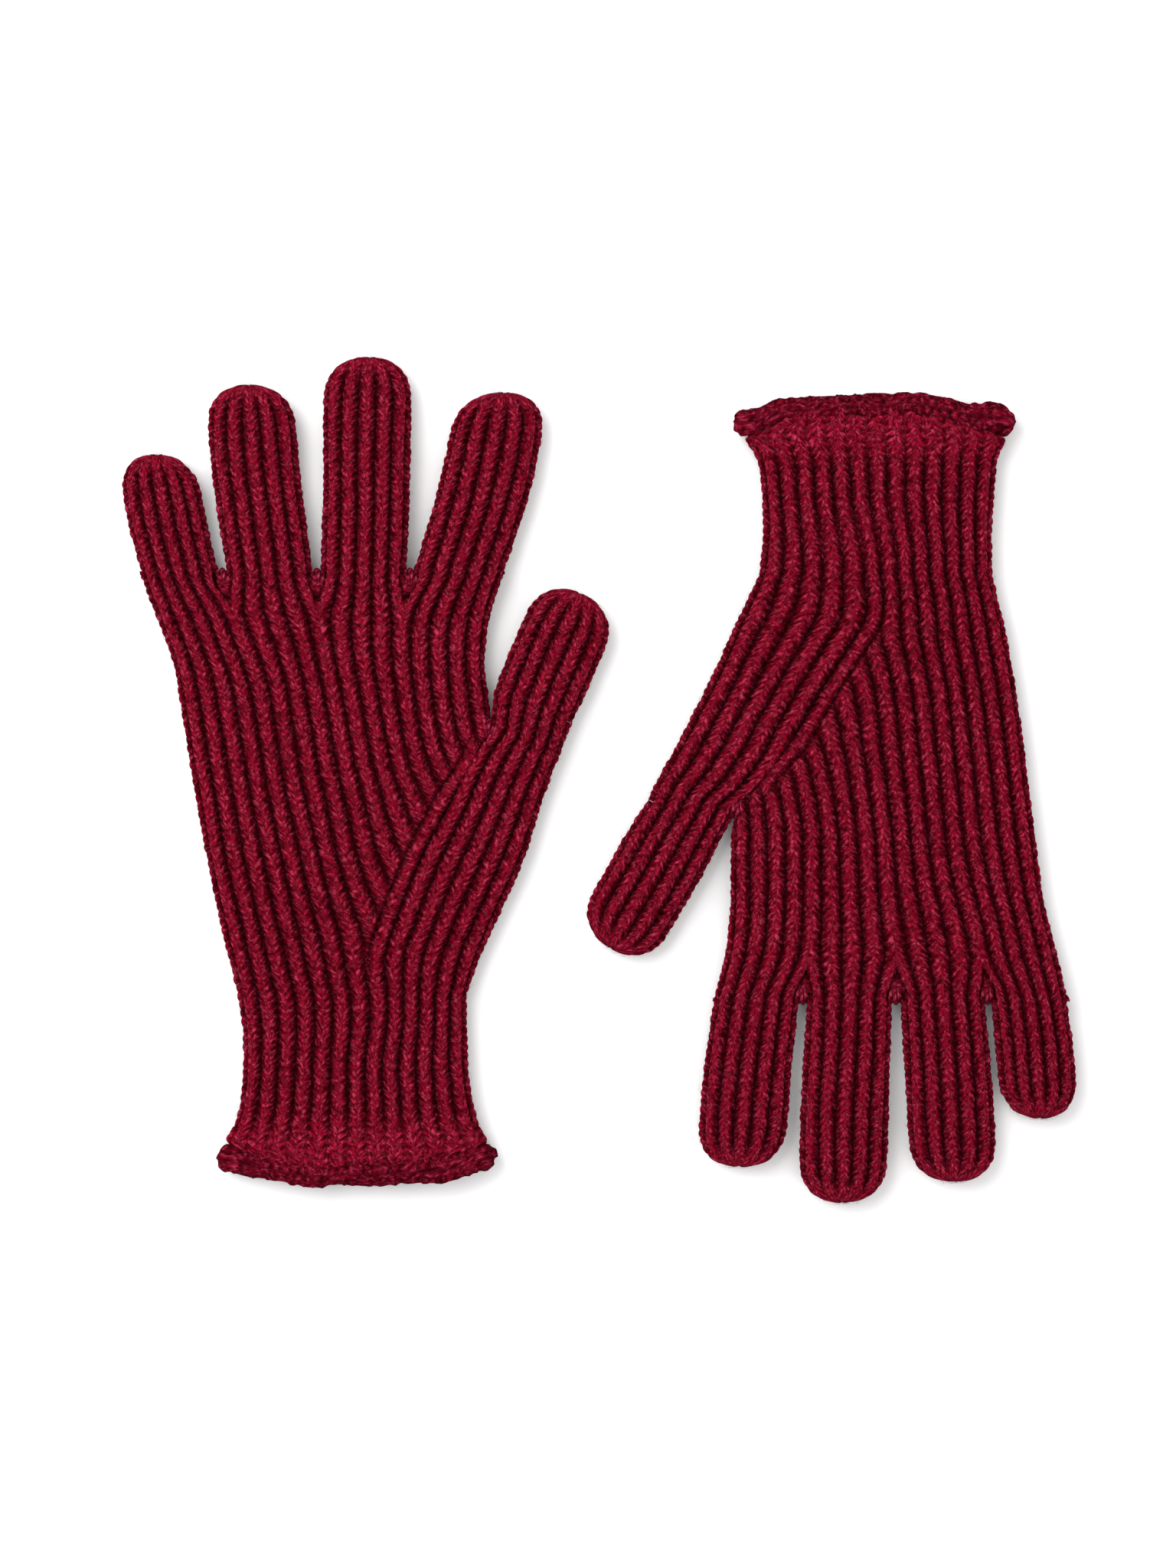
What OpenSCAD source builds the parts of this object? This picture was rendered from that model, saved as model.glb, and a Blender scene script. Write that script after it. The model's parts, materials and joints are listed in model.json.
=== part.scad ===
// A pair of rib-knitted wool gloves lying flat on a surface, one pointing away and one pointing back.
// Millimetres, +Z up. Each glove is drawn in its own frame: the wrist's centre is at the origin, the
// fingers point along +Y and the thumb is on the +X side. It is then turned and laid in its place.
// Every tube is a knitted wall swept through flattened rings, so a hand can go in at the cuff.

/* [Knit] */
// Thickness of one knitted wall
wall = 2.4; // [1.8:0.1:2.6]
// Height of the cuff and the hand as they lie flat
hand_h = 10; // [9.5:0.1:12]
// Height of a finger or a thumb as it lies flat
finger_h = 10.6; // [10:0.1:12.5]
// How far the rolled edge reaches along the cuff
roll_l = 5.8; // [4:0.1:7]
// Thickness of the rolled edge, less than half the hand's height
roll_t = 4.7; // [3.5:0.1:4.9]
// Height of the waves along the rolled edge
roll_wave = 0.3; // [0:0.1:1]
// Gap between two pieces that bend against each other
joint_gap = 0.3; // [0.2:0.05:0.6]
// Length of a rounded fingertip
tip_dome = 11.5; // [9:0.5:13]
// Radius of the hole at a fingertip that the closing yarn fills
tip_hole = 2.4; // [1.5:0.1:3]
// How much narrower a finger is at its root
neck = 1; // [0:0.1:2]

/* [Left glove] */
// Wrist centre on the surface, X and Y
left_wrist = [-73.1, -63.9]; // [-100:0.1:100]
// Turn of the glove on the surface
left_turn = 0; // [0:15:345]
// Knuckle line above the wrist
left_knuckle_y = 125.7; // [120:0.1:130]
// Centre of each finger on the knuckle line: little, ring, middle, index
left_root_x = [-51.2, -24.6, 3.2, 31.4]; // [-60:0.1:60]
// Centre of each fingertip across the hand
left_tip_x = [-57.6, -30.4, 4.6, 43.6]; // [-60:0.1:60]
// Top of each fingertip above the wrist
left_tip_y = [160.6, 181, 189.4, 178.9]; // [155:0.1:200]
// Width of each finger
left_finger_w = [24, 26.8, 26.4, 28]; // [22:0.1:30]
// Centre of the thumb's root, where it leaves the hand
left_thumb_root = [53.4, 85.5]; // [40:0.1:100]
// Lean of the thumb away from the fingers, in degrees
left_thumb_lean = 23; // [15:1:35]
// Length of the thumb beyond its root
left_thumb_l = 36.6; // [32:0.1:50]
// End of the cuff's wall below the wrist
left_cuff_l = 45.5; // [40:0.1:60]
// Width across the rolled edge
left_roll_w = 81; // [70:0.1:90]

/* [Right glove] */
// Wrist centre on the surface, X and Y
right_wrist = [82.3, 61.1]; // [-100:0.1:100]
// Turn of the glove on the surface
right_turn = 180; // [0:15:345]
// Knuckle line above the wrist
right_knuckle_y = 126.8; // [120:0.1:130]
// Centre of each finger on the knuckle line: little, ring, middle, index
right_root_x = [-45, -19.3, 8.2, 35.7]; // [-60:0.1:60]
// Centre of each fingertip across the hand
right_tip_x = [-47.9, -22.4, 10.2, 40.4]; // [-60:0.1:60]
// Top of each fingertip above the wrist
right_tip_y = [161.7, 180.3, 186.6, 176]; // [155:0.1:200]
// Width of each finger
right_finger_w = [23.8, 26.4, 26.6, 26.6]; // [22:0.1:30]
// Centre of the thumb's root, where it leaves the hand
right_thumb_root = [57.2, 73.1]; // [40:0.1:100]
// Lean of the thumb away from the fingers, in degrees
right_thumb_lean = 30; // [15:1:35]
// Length of the thumb beyond its root
right_thumb_l = 44; // [32:0.1:50]
// End of the cuff's wall below the wrist
right_cuff_l = 42.2; // [40:0.1:60]
// Width across the rolled edge
right_roll_w = 82; // [70:0.1:90]

/* [Hidden] */

LEFT = 0;
RIGHT = 1;
LITTLE = 0;
RING = 1;
MIDDLE = 2;
INDEX = 3;
wool = [0.5, 0.05, 0.13];
joining_yarn = [0.62, 0.12, 0.24];

// Both gloves' values, picked with LEFT or RIGHT
wrist = [left_wrist, right_wrist];
turn = [left_turn, right_turn];
knuckle_y = [left_knuckle_y, right_knuckle_y];
root_x = [left_root_x, right_root_x];
tip_x = [left_tip_x, right_tip_x];
tip_y = [left_tip_y, right_tip_y];
finger_w = [left_finger_w, right_finger_w];
thumb_root = [left_thumb_root, right_thumb_root];
thumb_lean = [left_thumb_lean, right_thumb_lean];
thumb_l = [left_thumb_l, right_thumb_l];
cuff_l = [left_cuff_l, right_cuff_l];
roll_w = [left_roll_w, right_roll_w];

// The little-finger side of each glove, as [Y, X] from the cuff's mouth to the knuckle line
outer_edge = [
  [[-45.5, -38.4], [-43, -37.4], [-40, -35.6], [-31.7, -33.5], [-22.7, -32.7], [-9, -32.8],
   [0, -34.2], [22.7, -39.9], [50, -45.4], [90, -51.8], [98, -53.2], [125.7, -63.2]],
  [[-42.2, -39], [-41, -38.4], [-39.6, -37.6], [-35, -36], [-26, -35.1], [-12.5, -34.2],
   [0, -34.3], [14.7, -37.8], [41.9, -42.5], [78, -47], [96.3, -49.5], [126.8, -57.1]]
];
// The thumb side of each cuff, as [Y, X] from the mouth to the wrist
thumb_edge = [
  [[-45.5, 41.2], [-43, 39.6], [-40, 37.8], [-31.7, 35.8], [-22.7, 34.4], [-9, 33.9], [0, 33.8]],
  [[-42.2, 41], [-41, 40], [-39.6, 38.6], [-35, 35.8], [-26, 34.5], [-12.5, 33.8], [0, 35]]
];
// The line where the hand's ribs run into the thumb's ribs, from the wrist to the thumb's root
chevron = [
  [[9.5, 0], [9.5, 12.9], [14.6, 27], [21.7, 43.5], [31.7, 62], [41.4, 80.4]],
  [[3, 0], [3, 13.6], [15.2, 32], [26.3, 51], [34.6, 62], [42.6, 71]]
];
// The outer side of each thumb gusset, level with the points of the chevron line
gusset_edge = [
  [[33.8, 0], [38.6, 12.9], [45.2, 27], [51, 40], [57.2, 60], [62.2, 73]],
  [[35, 0], [41.6, 13.6], [49, 30], [57, 45.5], [61.8, 55], [65.6, 61.5]]
];
// The thumb side of each hand above the thumb's root, as [Y, X]
palm_edge = [
  [[84, 40.9], [90.6, 40.4], [97.4, 39.4], [106.5, 39.9], [115.5, 41.9], [125.7, 45.3]],
  [[76, 43.6], [85, 43.8], [96.3, 43.8], [105.3, 44.4], [114.4, 45.8], [126.8, 49]]
];

side_points = 20;
finger_points = 16;
hand_round = 4;
finger_round = 2.7;
lean_ease = 1.6;
thumb_w = 26.2;
half_gap = joint_gap / 2;
join_w = 3;
join_l = 7;
join_drop = 1;
thumb_join_inset = 2.5;
flat_steps = 12;
end_steps = 6;
roll_sides = 8;
roll_waves = 7;
mouth_bow = 4.6;
dome_rings = 4;

// A power that keeps the sign of its base
function signed_pow(v, p) = sign(v) * pow(abs(v), p);

// A station is [left, right, height, middle_z, side, open, bow]: its ends in plan, how high it
// stands and about which level, the side its ring starts on (1 right, -1 left), whether it is open
// on that side, and how far its middle bulges along Y.
function station(left, right, height, middle_z, side = 1, open = false, bow = 0) =
  [left, right, height, middle_z, side, open, bow];

// How far across its half width an open side's point lies, spread evenly up to the lip
function lip_share(angle, points) = (90 - angle) / (90 - 180 / points);

// One ring of points at a station. Only its last step, back to the start, is left open.
function ring(st, points, roundness, inset) =
  let (across = st[1] - st[0], half = norm(across) / 2, along = across / norm(across))
  let (side = st[4], start = side < 0 ? 180 : 0, reach = pow(cos(180 / points), 2 / roundness))
  [for (k = [0:points - 1])
    let (angle = start + (k + 0.5) * 360 / points, c = cos(angle), s = sin(angle))
    let (flat = st[5] && side * c > 0.001)
    let (offset = flat ? side * half * lip_share(acos(abs(c)), points)
           : (half - inset) * signed_pow(c, 2 / roundness) / reach)
    let (rise = flat ? sign(s) : signed_pow(s, 2 / roundness) / reach)
    let (plan = (st[0] + st[1]) / 2 + along * offset)
    [plan[0], plan[1] + st[6] * (1 - pow(offset / half, 2)), st[3] + (st[2] / 2 - inset) * rise]];

// Splits a four-sided face into two triangles
function halves(a, b, c, d) = [[a, b, c], [a, c, d]];

// A knitted wall between two nets of rings. slit says at which stations the last step is open.
module knitted_wall(outer, inner, slit = []) {
  rows = len(outer);
  n = len(outer[0]);
  function slit_at(s) = len(slit) > 0 && (slit[s] || slit[s + 1]);
  function there(s, k) = s >= 0 && s < rows - 1 && !((k + n) % n == n - 1 && slit_at(s));
  function o(s, k) = s * n + k % n;
  function i(s, k) = rows * n + s * n + k % n;
  faces = [
    for (s = [0:rows - 2], k = [0:n - 1]) if (there(s, k)) each concat(
      halves(o(s, k), o(s, k + 1), o(s + 1, k + 1), o(s + 1, k)),
      halves(i(s, k), i(s + 1, k), i(s + 1, k + 1), i(s, k + 1)),
      there(s - 1, k) ? [] : halves(o(s, k + 1), o(s, k), i(s, k), i(s, k + 1)),
      there(s + 1, k) ? [] : halves(o(s + 1, k), o(s + 1, k + 1), i(s + 1, k + 1), i(s + 1, k)),
      there(s, k - 1) ? [] : halves(o(s, k), o(s + 1, k), i(s + 1, k), i(s, k)),
      there(s, k + 1) ? [] : halves(o(s + 1, k + 1), o(s, k + 1), i(s, k + 1), i(s + 1, k + 1)))
  ];
  polyhedron(points = [each for (r = outer) r, each for (r = inner) r], faces = faces, convexity = 6);
}

// A tube through stations, with the same wall all round
module tube(stations, points, roundness) {
  knitted_wall([for (st = stations) ring(st, points, roundness, 0)],
    [for (st = stations) ring(st, points, roundness, wall)], [for (st = stations) st[5]]);
}

// Lays a glove in its place
module laid(glove) {
  translate([wrist[glove][0], wrist[glove][1], 0]) rotate([0, 0, turn[glove]]) children();
}

// A level station across the glove at height y above the wrist
function level(y, left_x, right_x, height, open = false, bow = 0) =
  station([left_x, y], [right_x, y], height, height / 2, 1, open, bow);

// The rolled edge: the knitted wall curls over on itself round the cuff's mouth
module cuff_edge(glove) {
  half_w = (roll_w[glove] - roll_t) / 2;
  half_h = (hand_h - roll_t) / 2;
  flat_half = half_w - half_h;
  centre_x = (outer_edge[glove][0][1] + thumb_edge[glove][0][1]) / 2;
  loop_y = -cuff_l[glove] - roll_l / 2 - roll_wave;
  // Half the loop, as [x, z, the way it faces]: round the right end, then back along the top
  half_loop = concat(
    [for (k = [0:end_steps]) let (a = 180 * k / end_steps - 90)
      [flat_half + half_h * cos(a), half_h * sin(a), a]],
    [for (k = [1:flat_steps - 1]) [flat_half * (1 - 2 * k / flat_steps), half_h, 90]]);
  whole_loop = concat(half_loop, [for (q = half_loop) [-q[0], -q[1], q[2] + 180]]);
  count = len(whole_loop);
  points = [for (k = [0:count - 1], b = [0:roll_sides - 1])
    let (q = whole_loop[k], side = b * 360 / roll_sides, out = roll_t / 2 * cos(side))
    let (bow = mouth_bow * (1 - pow(q[0] / half_w, 2)), wave = roll_wave * sin(360 * roll_waves * k / count))
    [centre_x + q[0] + out * cos(q[2]), loop_y - bow + wave + roll_l / 2 * sin(side),
     hand_h / 2 + q[1] + out * sin(q[2])]];
  function p(k, b) = (k % count) * roll_sides + b % roll_sides;
  color(wool) laid(glove) polyhedron(points = points, faces = [
    for (k = [0:count - 1], b = [0:roll_sides - 1])
      each halves(p(k, b), p(k + 1, b), p(k + 1, b + 1), p(k, b + 1))], convexity = 6);
}

// The ribbed cuff, from its flared mouth to the wrist
module cuff(glove) {
  outer = outer_edge[glove];
  inner = thumb_edge[glove];
  levels = [for (row = inner) row[0]];
  color(wool) laid(glove) tube([for (y = levels)
    level(min(y, -half_gap), lookup(y, outer), lookup(y, inner), hand_h, false, -mouth_bow * pow(y / levels[0], 8))],
    side_points, hand_round);
}

// The hand: a tube that is open towards the thumb gusset as far as the thumb's root
module hand(glove) {
  outer = outer_edge[glove];
  open_part = [for (p = chevron[glove])
    level(p[1], lookup(p[1], outer), p[0], hand_h, true)];
  top_y = knuckle_y[glove];
  closed_part = [for (row = palm_edge[glove])
    let (share = (row[0] - palm_edge[glove][0][0]) / (top_y - palm_edge[glove][0][0]))
    level(min(row[0], top_y - half_gap), lookup(row[0], outer), row[1] - half_gap,
      hand_h + (finger_h - hand_h) * share)];
  color(wool) laid(glove) tube(concat(open_part, closed_part), side_points, hand_round);
}

// A point beside the thumb's middle line: along it from the root, and out to its side
function by_thumb(glove, along, side) =
  let (a = thumb_lean[glove])
  thumb_root[glove] + along * [sin(a), cos(a)] + side * [cos(a), -sin(a)];

// The thumb gusset: the cuff's last ribs, which lean out towards the thumb
module thumb_gusset(glove) {
  line = chevron[glove];
  rows = [for (i = [0:len(line) - 1])
    station(line[i], gusset_edge[glove][i], hand_h, hand_h / 2, -1, true)];
  foot = palm_edge[glove][0];
  closed_rows = [
    station([foot[1] + half_gap, foot[0]], by_thumb(glove, -3, thumb_w / 2), hand_h, hand_h / 2, -1),
    station(by_thumb(glove, -half_gap, (neck - thumb_w) / 2),
      by_thumb(glove, -half_gap, (thumb_w - neck) / 2), finger_h, finger_h / 2, -1)];
  color(wool) laid(glove) tube(concat(rows, closed_rows), side_points, hand_round);
}

// A thumb station at a distance from the root, with its width
function thumb_station(glove, along, w, height) =
  station(by_thumb(glove, along, -w / 2), by_thumb(glove, along, w / 2), height, finger_h / 2);

// A finger's middle line: it leans quickly at the root and straightens at the tip
function finger_x(glove, finger, y) =
  let (share = (y - knuckle_y[glove]) / (tip_y[glove][finger] - knuckle_y[glove]))
  root_x[glove][finger] + (tip_x[glove][finger] - root_x[glove][finger])
    * (1 - pow(1 - min(max(share, 0), 1), lean_ease));

// A finger's width at y, narrower at the root
function width_at(glove, finger, y) =
  let (share = (y - knuckle_y[glove]) / (tip_y[glove][finger] - knuckle_y[glove]))
  finger_w[glove][finger] - neck * pow(1 - min(max(share, 0), 1), 4);

// A finger station at y, with its width
function finger_station(glove, finger, y, w, height) =
  let (x = finger_x(glove, finger, y))
  station([x - w / 2, y], [x + w / 2, y], height, finger_h / 2);

// The middle knuckle, halfway up each finger and thumb
function middle_y(glove, finger) = (knuckle_y[glove] + tip_y[glove][finger]) / 2;

// How wide a domed tip is at a share of its length, from 1 at its start to the hole at its end
function dome_w(w, share) = w * sqrt(1 - share * share);

// The share of the dome at which it has narrowed to the hole
function dome_end(w) = sqrt(1 - pow(2 * tip_hole / w, 2));

// How high a domed tip is at a share of its length
function dome_h(height, share) = 2 * tip_hole + (height - 2 * tip_hole) * (1 - pow(share, 3));

// The lower half of a finger, from the knuckle line to the middle knuckle
module finger_lower(glove, finger) {
  from = knuckle_y[glove] + half_gap;
  to = middle_y(glove, finger) - half_gap;
  color(wool) laid(glove) tube([for (i = [0:3]) let (y = from + (to - from) * i / 3)
    finger_station(glove, finger, y, width_at(glove, finger, y), finger_h)],
    finger_points, finger_round);
}

// The upper half of a finger, from the middle knuckle to the closed tip
module finger_upper(glove, finger) {
  from = middle_y(glove, finger) + half_gap;
  start = tip_y[glove][finger] - tip_dome;
  w = finger_w[glove][finger];
  function rings(inset) = concat(
    [for (i = [0:1]) let (y = from + (start - from) * i / 2)
      finger_station(glove, finger, y, width_at(glove, finger, y) - 2 * inset, finger_h - 2 * inset)],
    [for (i = [0:dome_rings]) let (share = dome_end(w - 2 * inset) * sin(90 * i / dome_rings))
      finger_station(glove, finger, start + (tip_dome - inset) * share,
        dome_w(w - 2 * inset, share), dome_h(finger_h - 2 * inset, share))]);
  color(wool) laid(glove) knitted_wall(
    [for (st = rings(0)) ring(st, finger_points, finger_round, 0)],
    [for (st = rings(wall)) ring(st, finger_points, finger_round, 0)]);
}

// The lower half of the thumb, from its root to its middle knuckle
module thumb_lower(glove) {
  to = thumb_l[glove] / 2 - half_gap;
  color(wool) laid(glove) tube([for (i = [0:2]) let (along = half_gap + (to - half_gap) * i / 2)
    thumb_station(glove, along, thumb_w - (i == 0 ? neck : 0), finger_h)],
    finger_points, finger_round);
}

// The upper half of the thumb, from its middle knuckle to the closed tip
module thumb_upper(glove) {
  from = thumb_l[glove] / 2 + half_gap;
  start = thumb_l[glove] - tip_dome;
  function rings(inset) = concat(
    [thumb_station(glove, from, thumb_w - 2 * inset, finger_h - 2 * inset)],
    [for (i = [0:dome_rings])
      let (share = dome_end(thumb_w - 2 * inset) * sin(90 * i / dome_rings))
      thumb_station(glove, start + (tip_dome - inset) * share,
        dome_w(thumb_w - 2 * inset, share), dome_h(finger_h - 2 * inset, share))]);
  color(wool) laid(glove) knitted_wall(
    [for (st = rings(0)) ring(st, finger_points, finger_round, 0)],
    [for (st = rings(wall)) ring(st, finger_points, finger_round, 0)]);
}

// The closing yarn, drawn through the last stitches: a small plug that fills a tip's hole
module tip_tie(at, lean) {
  color(joining_yarn) translate([at[0], at[1], finger_h / 2]) rotate([0, 0, -lean])
    rotate([90, 0, 0]) cylinder(h = wall, r = tip_hole * 0.9, $fn = 24);
}

module finger_tip_tie(glove, finger) {
  laid(glove) tip_tie([tip_x[glove][finger], tip_y[glove][finger] - 0.2], 0);
}

module thumb_tip_tie(glove) {
  laid(glove) tip_tie(by_thumb(glove, thumb_l[glove] - 0.2, 0), thumb_lean[glove]);
}

// The joining yarn between two fingers, which ties the upper wall to the lower one
module join_yarn(x, y) {
  depth = wall + joint_gap;
  color(joining_yarn) translate([x, y, depth]) linear_extrude(hand_h - 2 * depth) union() {
    square([join_w, join_l - join_w], center = true);
    for (end = [-1, 1]) translate([0, end * (join_l - join_w) / 2]) circle(d = join_w, $fn = 24);
  }
}

// The joining yarn at the gap between a finger and the next one
module finger_join(glove, finger) {
  right_side = root_x[glove][finger] + finger_w[glove][finger] / 2;
  left_side = root_x[glove][finger + 1] - finger_w[glove][finger + 1] / 2;
  laid(glove) join_yarn((right_side + left_side) / 2, knuckle_y[glove] - join_l / 2 - join_drop);
}

// The joining yarn at the root of the thumb
module thumb_join(glove) {
  top = chevron[glove][len(chevron[glove]) - 1];
  laid(glove) join_yarn(top[0] - thumb_join_inset, top[1] - join_l / 2 - join_drop);
}

cuff_edge(LEFT);  // left_cuff_edge
cuff(LEFT);  // left_cuff
hand(LEFT);  // left_hand
thumb_gusset(LEFT);  // left_thumb_gusset
thumb_lower(LEFT);  // left_thumb_lower
thumb_upper(LEFT);  // left_thumb_upper
thumb_tip_tie(LEFT);  // left_thumb_tip_tie
finger_lower(LEFT, LITTLE);  // left_little_lower
finger_upper(LEFT, LITTLE);  // left_little_upper
finger_tip_tie(LEFT, LITTLE);  // left_little_tip_tie
finger_lower(LEFT, RING);  // left_ring_lower
finger_upper(LEFT, RING);  // left_ring_upper
finger_tip_tie(LEFT, RING);  // left_ring_tip_tie
finger_lower(LEFT, MIDDLE);  // left_middle_lower
finger_upper(LEFT, MIDDLE);  // left_middle_upper
finger_tip_tie(LEFT, MIDDLE);  // left_middle_tip_tie
finger_lower(LEFT, INDEX);  // left_index_lower
finger_upper(LEFT, INDEX);  // left_index_upper
finger_tip_tie(LEFT, INDEX);  // left_index_tip_tie
finger_join(LEFT, LITTLE);  // left_little_ring_join
finger_join(LEFT, RING);  // left_ring_middle_join
finger_join(LEFT, MIDDLE);  // left_middle_index_join
thumb_join(LEFT);  // left_thumb_join
cuff_edge(RIGHT);  // right_cuff_edge
cuff(RIGHT);  // right_cuff
hand(RIGHT);  // right_hand
thumb_gusset(RIGHT);  // right_thumb_gusset
thumb_lower(RIGHT);  // right_thumb_lower
thumb_upper(RIGHT);  // right_thumb_upper
thumb_tip_tie(RIGHT);  // right_thumb_tip_tie
finger_lower(RIGHT, LITTLE);  // right_little_lower
finger_upper(RIGHT, LITTLE);  // right_little_upper
finger_tip_tie(RIGHT, LITTLE);  // right_little_tip_tie
finger_lower(RIGHT, RING);  // right_ring_lower
finger_upper(RIGHT, RING);  // right_ring_upper
finger_tip_tie(RIGHT, RING);  // right_ring_tip_tie
finger_lower(RIGHT, MIDDLE);  // right_middle_lower
finger_upper(RIGHT, MIDDLE);  // right_middle_upper
finger_tip_tie(RIGHT, MIDDLE);  // right_middle_tip_tie
finger_lower(RIGHT, INDEX);  // right_index_lower
finger_upper(RIGHT, INDEX);  // right_index_upper
finger_tip_tie(RIGHT, INDEX);  // right_index_tip_tie
finger_join(RIGHT, LITTLE);  // right_little_ring_join
finger_join(RIGHT, RING);  // right_ring_middle_join
finger_join(RIGHT, MIDDLE);  // right_middle_index_join
thumb_join(RIGHT);  // right_thumb_join
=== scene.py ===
import json
import math

import bpy
import numpy as np
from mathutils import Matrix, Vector


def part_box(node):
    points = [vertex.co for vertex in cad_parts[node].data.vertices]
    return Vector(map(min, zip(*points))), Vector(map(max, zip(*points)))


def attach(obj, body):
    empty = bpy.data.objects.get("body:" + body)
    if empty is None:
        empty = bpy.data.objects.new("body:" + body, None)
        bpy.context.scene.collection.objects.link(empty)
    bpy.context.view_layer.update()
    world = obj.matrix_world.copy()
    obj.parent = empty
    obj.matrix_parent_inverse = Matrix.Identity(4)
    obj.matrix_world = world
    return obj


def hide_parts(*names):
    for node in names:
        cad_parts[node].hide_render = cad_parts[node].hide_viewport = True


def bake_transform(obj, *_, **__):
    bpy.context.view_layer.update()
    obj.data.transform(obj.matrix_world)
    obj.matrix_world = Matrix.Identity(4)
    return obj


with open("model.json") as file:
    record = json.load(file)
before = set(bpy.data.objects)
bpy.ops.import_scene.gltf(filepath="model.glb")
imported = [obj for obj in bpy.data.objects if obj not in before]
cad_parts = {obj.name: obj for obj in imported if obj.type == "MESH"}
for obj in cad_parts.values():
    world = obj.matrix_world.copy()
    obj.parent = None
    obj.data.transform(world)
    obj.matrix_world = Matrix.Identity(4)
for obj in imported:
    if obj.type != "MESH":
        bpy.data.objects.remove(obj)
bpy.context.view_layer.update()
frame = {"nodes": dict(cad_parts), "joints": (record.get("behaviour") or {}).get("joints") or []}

# Lengths are in metres. A glove's own frame has its wrist at the origin, its thumb on the +x side
# and its fingertips towards +y.
GLOVES = ("left", "right")
FINGERS = ("little", "ring", "middle", "index")
UP = np.array([0.0, 0.0, 1.0])
MIDDLE_Z = 0.005          # height of the middle of a glove that lies flat
CLEAR_OF_TABLE = 0.0002

# Outlines, sliced from the CAD nodes
SLICE_L = 0.002           # from one slice to the next
SOFTEN_L = 0.006          # length over which an outline's corners are rounded off
EDGE_IN = 0.0004          # an outline is read at least this far inside its node's ends

# Ribs and stitches
CELL = 0.00043            # side of one cell of a knitted surface
ROW = 0.00245             # height of one row of stitches
RIB_DEPTH = 0.0026        # how deep the valleys between ribs are
CORD_POWER = 2.4          # higher is a flatter rib with narrower valleys
HALF_RIB = 0.0027         # half the usual width of a rib
SCALLOP = 0.16            # how much narrower a rib is between two stitches
LEG_RISE = 1.2            # rows that a stitch's leg climbs from a rib's middle to its valley
LEG_DEPTH = 0.00048       # groove between two stitches
MIDDLE_DEPTH = 0.00028    # groove between the two legs of a stitch
MIDDLE_WIDTH = 0.18       # half width of that groove, in half ribs
UNEVEN = 0.00020          # how much one stitch stands off its neighbours
STITCH_SEED = 23
STITCH_KINDS = 4093       # how many different stitch heights there are
RIB_WANDER = 0.06         # how far a rib strays from its line, in ribs
WANDER_L = 0.02           # length over which it strays
SWELL = 0.0005            # slow rise and fall of the whole surface
SWELL_L = 0.017           # length of one such rise
PURL_L = 0.0027           # length of a purl bump
PURL_ROW = 0.00163        # height of a purl row on the rolled edge
PURL_RISE = 0.8           # how far a purl bump fills its valley
WALL = 0.0022             # thickness of one knitted wall
FINGER_HALF_H = 0.0053    # half the height of a finger that lies flat
TIP_DEPTH = 0.15          # share of the ribs' depth that is left at a fingertip
TIP_FADE = (0.0075, 0.001)   # the ribs get shallower between these distances from the tip

# The rolled edge and the cuff where it meets it
ROLL_T = 0.0048           # thickness of the roll
ROLL_L = 0.0060           # how far the roll reaches along the cuff
ROLL_SIDES = 44
ROLL_WAVE = 0.0011        # how far the roll strays along the cuff
ROLL_SWELL = 0.13         # how much thicker and thinner it gets
EAR_LIFT = 0.0006         # how much further its two ends stand up
MOUTH_FLARE = 0.0015      # how far each side of the cuff spreads towards the roll
FLARE_L = 0.008           # length over which it spreads
TUCK = 0.0022             # how far the cuff runs on into the roll
MOUTH_PURL = (0.001, 0.012)  # purl bumps fill the cuff's valleys between these distances in
MOUTH_DEPTH = 0.4         # share of the ribs' depth that is left at the mouth
MOUTH_BOW_POWER = 8       # higher keeps the mouth's bow closer to the mouth
INSIDE_STEP = 2           # the cuff's inner face has cells this many times larger
INSIDE_DEPTH = 0.3        # share of the ribs' depth on that face

# Fuzz
FUZZ_PER_M2 = 250000      # hairs on a square metre of wool
FUZZ_L = 0.0028           # length of the longest hair
FUZZ_RISE = 0.0010        # how high it stands off the wool
FUZZ_R = 0.000028         # radius of a hair at its root
FUZZ_FROM = 0.002         # no hairs grow below this height

# Darned strands and gathered tips
TWIST_L = 0.0022          # length of one twist of the two-ply yarn
DARN_L = 0.0048           # length, height and yarn radius of one darned loop
DARN_H = 0.0060
DARN_R = 0.00075
DARN_STEP = 0.0011        # from one strand to the next
DARN_BELOW = {"knuckle": 0.0021, "thumb": 0.0012}  # how far below each gap the loops sit
GATHER_W = 0.0032         # width, height and yarn radius of a fingertip's gather
GATHER_H = 0.0026
GATHER_R = 0.00055
GATHER_WAVE = 0.0004      # how far its loop strays along the finger
GATHER_INSET = 0.0009     # how far the gather sits in from the fingertip

# Ribs on one face, from the little-finger side to the thumb side
CUFF_RIBS = 14
STEM_RIB = 8.35           # rib at the foot of the line between the hand and the thumb gusset
HAND_RIBS = 18
FINGER_RIBS = 6
FORK_RIBS = (5, 9, 13)    # the ribs that split in two at the gaps between the fingers
RIBS_APART = 4            # from one finger's first rib to the next finger's
THUMB_FIRST_RIB = 8
RIDGE_FIRST_RIB = 50      # any number that no other rib has

# Sections: 2 is an ellipse, and higher is squarer
HAND_ROUND = 4.0
FINGER_ROUND = 2.7
DOME_ROUND = 2.4
DOME_L = 0.0115           # length of a fingertip's rounded end
OVERLAP = 0.0008          # how far a finger starts inside the hand

# Places along a glove, from the wrist
FORK_START = 0.0155       # the ribs start to split this far below the knuckles
PINCH_L = 0.007           # the walls close between the fingers over this length
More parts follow.
